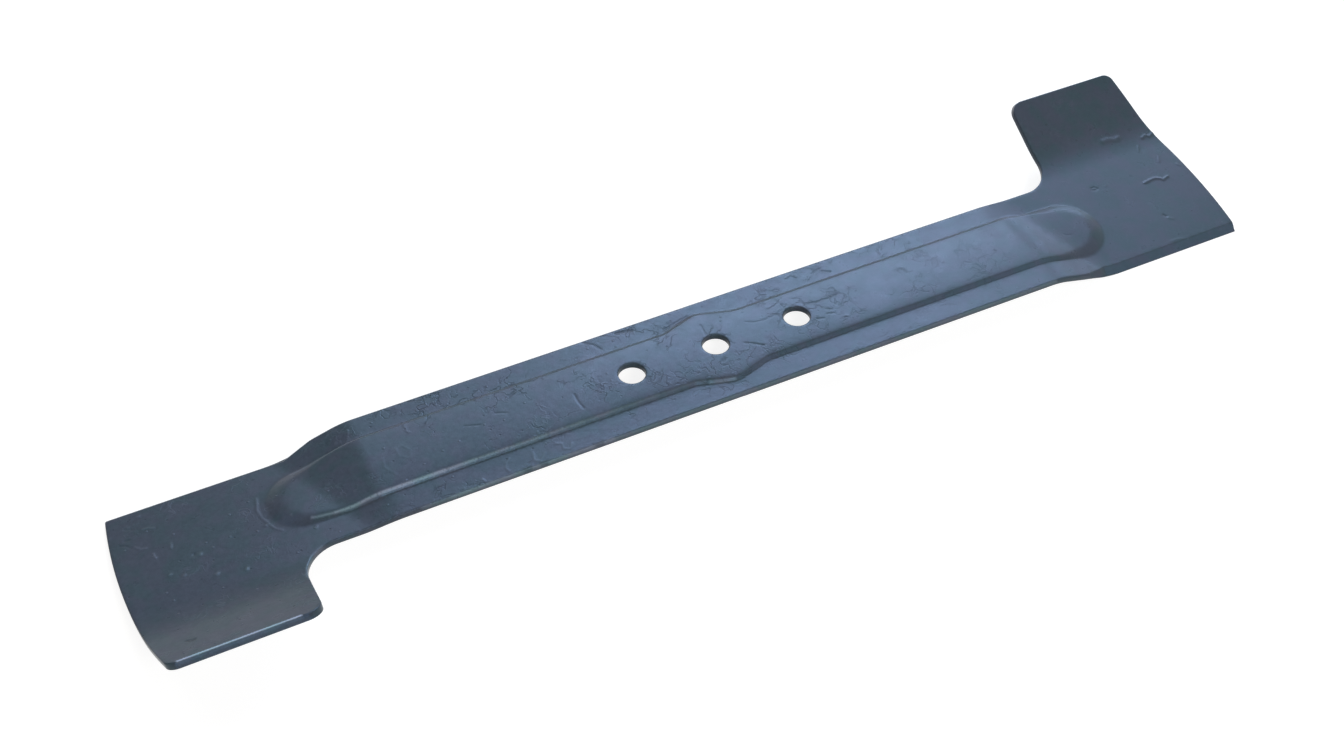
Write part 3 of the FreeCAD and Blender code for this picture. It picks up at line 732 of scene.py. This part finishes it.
def add_points(x, y, z):
    """Adds vertices given in millimetres, and returns the number of the first."""
    start = sum(len(block) for block in vertices)
    vertices.append(np.stack([x, y, z], 1) * MM)
    return start


def edge_band(face_loop, start_index, radius_of, height_of, sign):
    """Rounded edge from a face's inset loop out to the full outline. Returns the outer row's start."""
    count = len(face_loop)
    normal = outward_normals(face_loop)
    radius = radius_of(face_loop)
    x, y = face_loop[:, 0], face_loop[:, 1]
    thickness = top_height(x, y) - under_height(x, y)
    scale = np.clip(thickness / FULL_ROUND_THICKNESS, 0.0, 1.0)
    last = start_index
    for angle in EDGE_TURNS:
        turn = math.radians(angle)
        at = face_loop - normal * radius * (1 - math.sin(turn))
        z = height_of(at[:, 0], at[:, 1]) - sign * radius[:, 0] * (1 - math.cos(turn)) * scale
        row = add_points(at[:, 0], at[:, 1], z)
        join_rows(last, row, count, sign)
        last = row
    return last


def join_rows(a, b, count, sign):
    """Closes the band between two rows of count vertices each with four-sided faces."""
    for i in range(count):
        j = (i + 1) % count
        quad = (a + i, b + i, b + j, a + j)
        faces.append(quad if sign > 0 else quad[::-1])


# The two faces, and a rounded band between them along the outline and round each hole
top_start = add_points(top_points[:, 0], top_points[:, 1],
                       top_height(top_points[:, 0], top_points[:, 1]))
faces += [tuple(int(i) for i in t) for t in top_triangles + top_start]
under_start = add_points(under_points[:, 0], under_points[:, 1],
                         under_height(under_points[:, 0], under_points[:, 1]))
faces += [tuple(int(i) for i in t[::-1]) for t in under_triangles + under_start]

top_at, under_at = top_start, under_start
for top_loop, under_loop in zip(top_loops, under_loops):
    count = len(top_loop)
    upper = edge_band(top_loop, top_at, top_radius, top_height, 1)
    lower = edge_band(under_loop, under_at, under_radius, under_height, -1)
    join_rows(upper, lower, count, 1)
    top_at += count
    under_at += count


def add_object(name, data):
    made = bpy.data.objects.new(name, data)
    bpy.context.scene.collection.objects.link(made)
    return made


# The mesh, smooth but for its sharp edges, with the marks and the painted light and shade on its top
# face
mesh = bpy.data.meshes.new("pressed_blade")
mesh.from_pydata(np.concatenate(vertices).tolist(), [], faces)
mesh.validate(verbose=False)
mesh.update()
mark_and_painted_light_tone = np.zeros(len(mesh.vertices), np.float32)
points = np.concatenate(vertices) / MM
above = points[:, 2] > under_height(points[:, 0], points[:, 1]) + UNMARKED_SHARE * SHEET
mark_and_painted_light_tone[above] = mark_sums(points[above, 0], points[above, 1])[1]
mesh.attributes.new("marks_and_painted_light", "FLOAT", "POINT").data.foreach_set("value", mark_and_painted_light_tone)
for polygon in mesh.polygons:
    polygon.use_smooth = True
mesh.set_sharp_from_angle(angle=math.radians(SHARP_ANGLE))
triangle_count = sum(len(polygon.vertices) - 2 for polygon in mesh.polygons)
print("blade mesh", len(mesh.vertices), "vertices", triangle_count, "triangles")


def srgb(red, green, blue):
    """A colour written as 0-255 screen values, as linear numbers."""
    linear = []
    for value in (red, green, blue):
        shade = value / 255
        linear.append(shade / 12.92 if shade <= 0.04045 else ((shade + 0.055) / 1.055) ** 2.4)
    return (*linear, 1.0)


# Blue-grey paint: its two shades, its gloss and the tint of its sheen
PAINT_GREENER = srgb(56, 68, 73)
PAINT_PURPLER = srgb(62, 67, 76)
PAINT_ROUGHNESS = 0.30
PAINT_IOR = 1.315
PAINT_SHEEN = (0.28, 0.54, 0.97, 1.0)

# The texture is stronger at the left end than at the right, and part of it keeps to the bar
TEXTURE_END_X = 150.0
TEXTURE_AT_LEFT = 1.3
TEXTURE_AT_RIGHT = 0.5
BAR_TEXTURE_END_X = 100.0
WING_TEXTURE_START_X = 145.0
WING_TEXTURE_SHARE = 0.15

# Soft edges of the patches of wrinkles and of the dots, and how far the patches' seed is from the lines'
PATCH_EDGE = 0.14
PATCH_SEED_SHIFT = 3.7
DOT_CORE = 0.3


def new_material(name):
    """An empty material, and its node tree."""
    material = bpy.data.materials.new(name)
    material.use_nodes = True
    material.node_tree.nodes.clear()
    return material, material.node_tree


def put(tree, socket, value):
    """Sets an input, or links it when the value is another node's output."""
    if isinstance(value, bpy.types.NodeSocket):
        tree.links.new(value, socket)
    else:
        socket.default_value = value


def calculate(tree, operation, a, b=0.0, c=0.0):
    """A math node's output, from up to three numbers or outputs."""
    made = tree.nodes.new("ShaderNodeMath")
    made.operation = operation
    for socket, value in zip(made.inputs, (a, b, c)):
        put(tree, socket, value)
    return made.outputs[0]


def scaled(tree, vector, factor):
    """A vector or a colour times a number."""
    made = tree.nodes.new("ShaderNodeVectorMath")
    made.operation = "SCALE"
    put(tree, made.inputs[0], vector)
    put(tree, made.inputs["Scale"], factor)
    return made.outputs[0]


def rescale(tree, value, low, high, new_low, new_high):
    """A smooth change from new_low to new_high while the value goes from low to high."""
    made = tree.nodes.new("ShaderNodeMapRange")
    made.interpolation_type = "SMOOTHSTEP"
    for socket, number in zip(made.inputs, (value, low, high, new_low, new_high)):
        put(tree, socket, number)
    return made.outputs["Result"]


def noise(tree, place, size, seed, detail=2.0, distortion=0.0):
    """Noise from 0 to 1 round 0.5, with features of a size in millimetres."""
    made = tree.nodes.new("ShaderNodeTexNoise")
    made.noise_dimensions = "4D"
    tree.links.new(place, made.inputs["Vector"])
    made.inputs["W"].default_value = seed
    made.inputs["Scale"].default_value = 1.0 / size
    made.inputs["Detail"].default_value = detail
    made.inputs["Distortion"].default_value = distortion
    return made.outputs["Fac"]


def wrinkles(tree, place, size, width, seed, patch, cover):
    """Thin winding lines, 1 on the line, that come and go in patches."""
    level = noise(tree, place, size, seed, detail=2.5, distortion=0.6)
    off = calculate(tree, "ABSOLUTE", calculate(tree, "SUBTRACT", level, 0.5))
    line = rescale(tree, off, 0.0, width, 1.0, 0.0)
    patches = noise(tree, place, patch, seed + PATCH_SEED_SHIFT)
    here = rescale(tree, patches, cover, cover + PATCH_EDGE, 0.0, 1.0)
    return calculate(tree, "MULTIPLY", line, here)


def flecks(tree, place, spacing, radius, seed, rarity):
    """Small round dots, 1 in the middle, in some of the cells of a size in millimetres."""
    shifted = tree.nodes.new("ShaderNodeVectorMath")
    shifted.operation = "ADD"
    tree.links.new(place, shifted.inputs[0])
    shifted.inputs[1].default_value = (seed, 2 * seed, 0)
    cells = tree.nodes.new("ShaderNodeTexVoronoi")
    cells.voronoi_dimensions = "2D"
    tree.links.new(shifted.outputs[0], cells.inputs["Vector"])
    cells.inputs["Scale"].default_value = 1.0 / spacing
    core, rim = DOT_CORE * radius / spacing, radius / spacing
    dot = rescale(tree, cells.outputs["Distance"], core, rim, 1.0, 0.0)
    split = tree.nodes.new("ShaderNodeSeparateColor")
    tree.links.new(cells.outputs["Color"], split.inputs[0])
    chosen = calculate(tree, "GREATER_THAN", split.outputs[0], rarity)
    return calculate(tree, "MULTIPLY", dot, chosen)


def weighted_sum(tree, first, terms):
    """first plus each (value - middle) * weight."""
    total = first
    for value, middle, weight in terms:
        off_middle = calculate(tree, "SUBTRACT", value, middle)
        total = calculate(tree, "MULTIPLY_ADD", off_middle, weight, total)
    return total


def seen_directly(tree):
    """1 for rays from the camera and for those that a gloss or glass sends on, and 0 for all others."""
    path = tree.nodes.new("ShaderNodeLightPath")
    seen = calculate(tree, "MAXIMUM", path.outputs["Is Camera Ray"], path.outputs["Is Glossy Ray"])
    return calculate(tree, "MAXIMUM", seen, path.outputs["Is Transmission Ray"])


def blue_grey_paint():
    """Paint with mottling, wrinkles and dots, and the mesh's marks and painted highlights and shade."""
    material, tree = new_material("blue_grey_paint")
    output = tree.nodes.new("ShaderNodeOutputMaterial")
    shader = tree.nodes.new("ShaderNodeBsdfPrincipled")
    shader.inputs["IOR"].default_value = PAINT_IOR
    shader.inputs["Specular Tint"].default_value = PAINT_SHEEN
    tree.links.new(shader.outputs["BSDF"], output.inputs["Surface"])

    coordinates = tree.nodes.new("ShaderNodeTexCoord")
    place = scaled(tree, coordinates.outputs["Object"], 1.0 / MM)
    apart = tree.nodes.new("ShaderNodeSeparateXYZ")
    tree.links.new(place, apart.inputs[0])
    x = apart.outputs["X"]
    marks = tree.nodes.new("ShaderNodeAttribute")
    marks.attribute_name = "marks_and_painted_light"

    strength = rescale(tree, x, -TEXTURE_END_X, TEXTURE_END_X, TEXTURE_AT_LEFT, TEXTURE_AT_RIGHT)
    on_bar = rescale(tree, calculate(tree, "ABSOLUTE", x), BAR_TEXTURE_END_X, WING_TEXTURE_START_X,
                     1.0, WING_TEXTURE_SHARE)
    cloud = noise(tree, place, size=30.0, seed=1.3, detail=1.0)
    hue = rescale(tree, noise(tree, place, size=7.0, seed=4.1), 0.38, 0.62, 0.0, 1.0)
    mottle = noise(tree, place, size=1.6, seed=7.7, detail=3.0)
    bar_mottle = calculate(tree, "MULTIPLY", calculate(tree, "SUBTRACT", mottle, 0.5), on_bar)
    grain = noise(tree, place, size=0.45, seed=9.2)
    light_lines = wrinkles(tree, place, size=4.5, width=0.036, seed=11.4, patch=13.0, cover=0.52)
    dark_lines = wrinkles(tree, place, size=5.0, width=0.036, seed=15.9, patch=13.0, cover=0.47)
    dark_lines = calculate(tree, "MULTIPLY", on_bar, dark_lines)
    light_dots = flecks(tree, place, spacing=8.0, radius=0.55, seed=31.0, rarity=0.66)
    dark_dots = flecks(tree, place, spacing=9.0, radius=0.50, seed=57.0, rarity=0.70)

    # Each layer of texture: its value, its middle, how much it lightens, and its height in millimetres
    layers = (
        (mottle, 0.5, 0.38, 0.018),
        (bar_mottle, 0.0, 0.26, 0.013),
        (grain, 0.5, 0.14, 0.004),
        (light_lines, 0.0, 0.20, 0.024),
        (dark_lines, 0.0, -0.27, -0.042),
        (light_dots, 0.0, 0.26, 0.05),
        (dark_dots, 0.0, -0.26, -0.04),
    )
    lighter = weighted_sum(tree, 0.0, [(value, middle, share) for value, middle, share, _ in layers])
    raised = weighted_sum(tree, 0.0, [(value, middle, height) for value, middle, _, height in layers])

    # The mesh's mark attribute adds its painted highlights and painted shade to the paint's tone here
    tone = weighted_sum(tree, 1.0, [
        (cloud, 0.5, 0.22),
        (calculate(tree, "MULTIPLY", lighter, strength), 0.0, 1.0),
        (marks.outputs["Fac"], 0.0, 1.0),
    ])
    colour = tree.nodes.new("ShaderNodeMix")
    colour.data_type = "RGBA"
    tree.links.new(hue, colour.inputs["Factor"])
    colour.inputs["A"].default_value = PAINT_GREENER
    colour.inputs["B"].default_value = PAINT_PURPLER
    put(tree, shader.inputs["Base Color"], scaled(tree, colour.outputs["Result"], tone))

    gloss = weighted_sum(tree, PAINT_ROUGHNESS, [
        (noise(tree, place, size=4.0, seed=21.3), 0.5, 0.16),
        (light_lines, 0.0, 0.05),
        (dark_lines, 0.0, 0.08),
    ])
    put(tree, shader.inputs["Roughness"], gloss)

    bump = tree.nodes.new("ShaderNodeBump")
    bump.inputs["Strength"].default_value = 1.0
    bump.inputs["Distance"].default_value = MM
    put(tree, bump.inputs["Height"], calculate(tree, "MULTIPLY", strength, raised))
    put(tree, shader.inputs["Normal"], bump.outputs["Normal"])
    return material


mesh.materials.append(blue_grey_paint())
blade = add_object("pressed_blade", mesh)

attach(blade, "root")
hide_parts("mower_blade")

# Floor, white to the camera, with the object's shadow on it, in metres
FLOOR_TONE = 0.30
FLOOR_GLOW = 0.87
FLOOR_HALF_SIZE = 6
FLOOR_DROP = 0.0002


def pale_floor():
    """Matte where light falls on it, and glowing to the camera."""
    material, tree = new_material("pale_floor")
    output = tree.nodes.new("ShaderNodeOutputMaterial")
    matte = tree.nodes.new("ShaderNodeBsdfDiffuse")
    matte.inputs["Color"].default_value = (FLOOR_TONE, FLOOR_TONE, FLOOR_TONE, 1)
    glow = tree.nodes.new("ShaderNodeEmission")
    put(tree, glow.inputs["Strength"], calculate(tree, "MULTIPLY", seen_directly(tree), FLOOR_GLOW))
    both = tree.nodes.new("ShaderNodeAddShader")
    tree.links.new(matte.outputs[0], both.inputs[0])
    tree.links.new(glow.outputs[0], both.inputs[1])
    tree.links.new(both.outputs[0], output.inputs["Surface"])
    return material


floor_mesh = bpy.data.meshes.new("floor")
corner_signs = ((-1, -1), (1, -1), (1, 1), (-1, 1))
floor_corners = [(x * FLOOR_HALF_SIZE, y * FLOOR_HALF_SIZE, 0) for x, y in corner_signs]
floor_mesh.from_pydata(floor_corners, [], [(0, 1, 2, 3)])
floor_mesh.materials.append(pale_floor())
floor = add_object("floor", floor_mesh)
floor.location.z = -FLOOR_DROP

# World, white to the camera and to reflections, and a faint even light on the object
WORLD_LIGHT = 0.02


def studio_world():
    """White for direct looks and reflections, and WORLD_LIGHT for the light that it casts."""
    world = bpy.data.worlds.new("studio")
    world.use_nodes = True
    tree = world.node_tree
    tree.nodes.clear()
    output = tree.nodes.new("ShaderNodeOutputWorld")
    background = tree.nodes.new("ShaderNodeBackground")
    background.inputs["Color"].default_value = (1, 1, 1, 1)
    strength = rescale(tree, seen_directly(tree), 0.0, 1.0, WORLD_LIGHT, 1.0)
    tree.links.new(strength, background.inputs["Strength"])
    tree.links.new(background.outputs[0], output.inputs["Surface"])
    return world


bpy.context.scene.world = studio_world()

# Soft boxes facing the blade from one distance: direction, height, width, length, power and colour
BOX_DISTANCE = 1.5
PLAIN_COLOUR = (0.87, 0.97, 1.13)
FRONT_COLOUR = (1.06, 1.00, 0.92)
BACK_COLOUR = (0.98, 0.98, 1.04)
LOW_COLOUR = (0.72, 0.96, 1.38)
SOFT_BOXES = {
    "left": (-40, 50, 0.5, 0.4, 1.2, BACK_COLOUR),
    "back": (10, 40, 0.5, 0.4, 3.45, BACK_COLOUR),
    "back_high": (10, 56, 0.5, 0.4, 1.3, BACK_COLOUR),
    "back_right": (30, 40, 0.5, 0.4, 8.5, PLAIN_COLOUR),
    "right_low": (50, 20, 0.5, 0.4, 2.6, LOW_COLOUR),
    "right_middle": (43, 38, 0.3, 0.3, 1.2, PLAIN_COLOUR),
    "right": (52, 40, 0.5, 0.4, 1.9, PLAIN_COLOUR),
    "right_high": (62, 51, 0.4, 0.4, 1.1, PLAIN_COLOUR),
    "front_right": (138, 32, 0.9, 0.7, 4.5, PLAIN_COLOUR),
    "front": (179, 41, 0.35, 0.25, 7.5, FRONT_COLOUR),
    "front_low": (192, 8, 1.2, 0.4, 10.0, FRONT_COLOUR),
}


def from_side(compass, height, distance):
    """A place at a distance from the blade's middle, in degrees clockwise from +Y and degrees up."""
    across, up = math.radians(compass), math.radians(height)
    return (distance * math.sin(across) * math.cos(up), distance * math.cos(across) * math.cos(up),
            distance * math.sin(up))


def soft_light(name, place, width, length, power, colour):
    """An area light that faces the blade's middle."""
    data = bpy.data.lights.new(name, "AREA")
    data.shape = "RECTANGLE"
    data.size = width
    data.size_y = length
    data.energy = power
    data.color = colour
    lamp = add_object(name, data)
    lamp.location = place
    lamp.rotation_euler = (-Vector(place)).to_track_quat("-Z", "Y").to_euler()


for name, (compass, height, width, length, power, colour) in SOFT_BOXES.items():
    soft_light(name, from_side(compass, height, BOX_DISTANCE), width, length, power, colour)

# Camera, from the photograph's viewing angle, and the blade's middle as it sees it, in millimetres
CAMERA_YAW = math.radians(25.0279)
CAMERA_PITCH = math.radians(46.2843)
CAMERA_ROLL = math.radians(0.6570)
CAMERA_LENS = 44.681
CAMERA_SENSOR = 36.0
MIDDLE_IN_CAMERA = (15.492, 4.646, -596.450)
turn = Matrix.Rotation(CAMERA_YAW, 3, "Z")
look_along = Matrix(((1, 0, 0), (0, 0, 1), (0, -1, 0)))
nod = Matrix.Rotation(CAMERA_PITCH, 3, "X")
roll = Matrix.Rotation(CAMERA_ROLL, 3, "Z")
to_camera = roll @ nod @ look_along @ turn
camera_data = bpy.data.cameras.new("camera")
camera_data.sensor_width = CAMERA_SENSOR
camera_data.lens = CAMERA_LENS
camera = add_object("camera", camera_data)
camera_place = -(to_camera.transposed() @ Vector(MIDDLE_IN_CAMERA)) * MM
camera.matrix_world = Matrix.Translation(camera_place) @ to_camera.transposed().to_4x4()
bpy.context.scene.camera = camera

bpy.context.scene.view_settings.view_transform = "Standard"
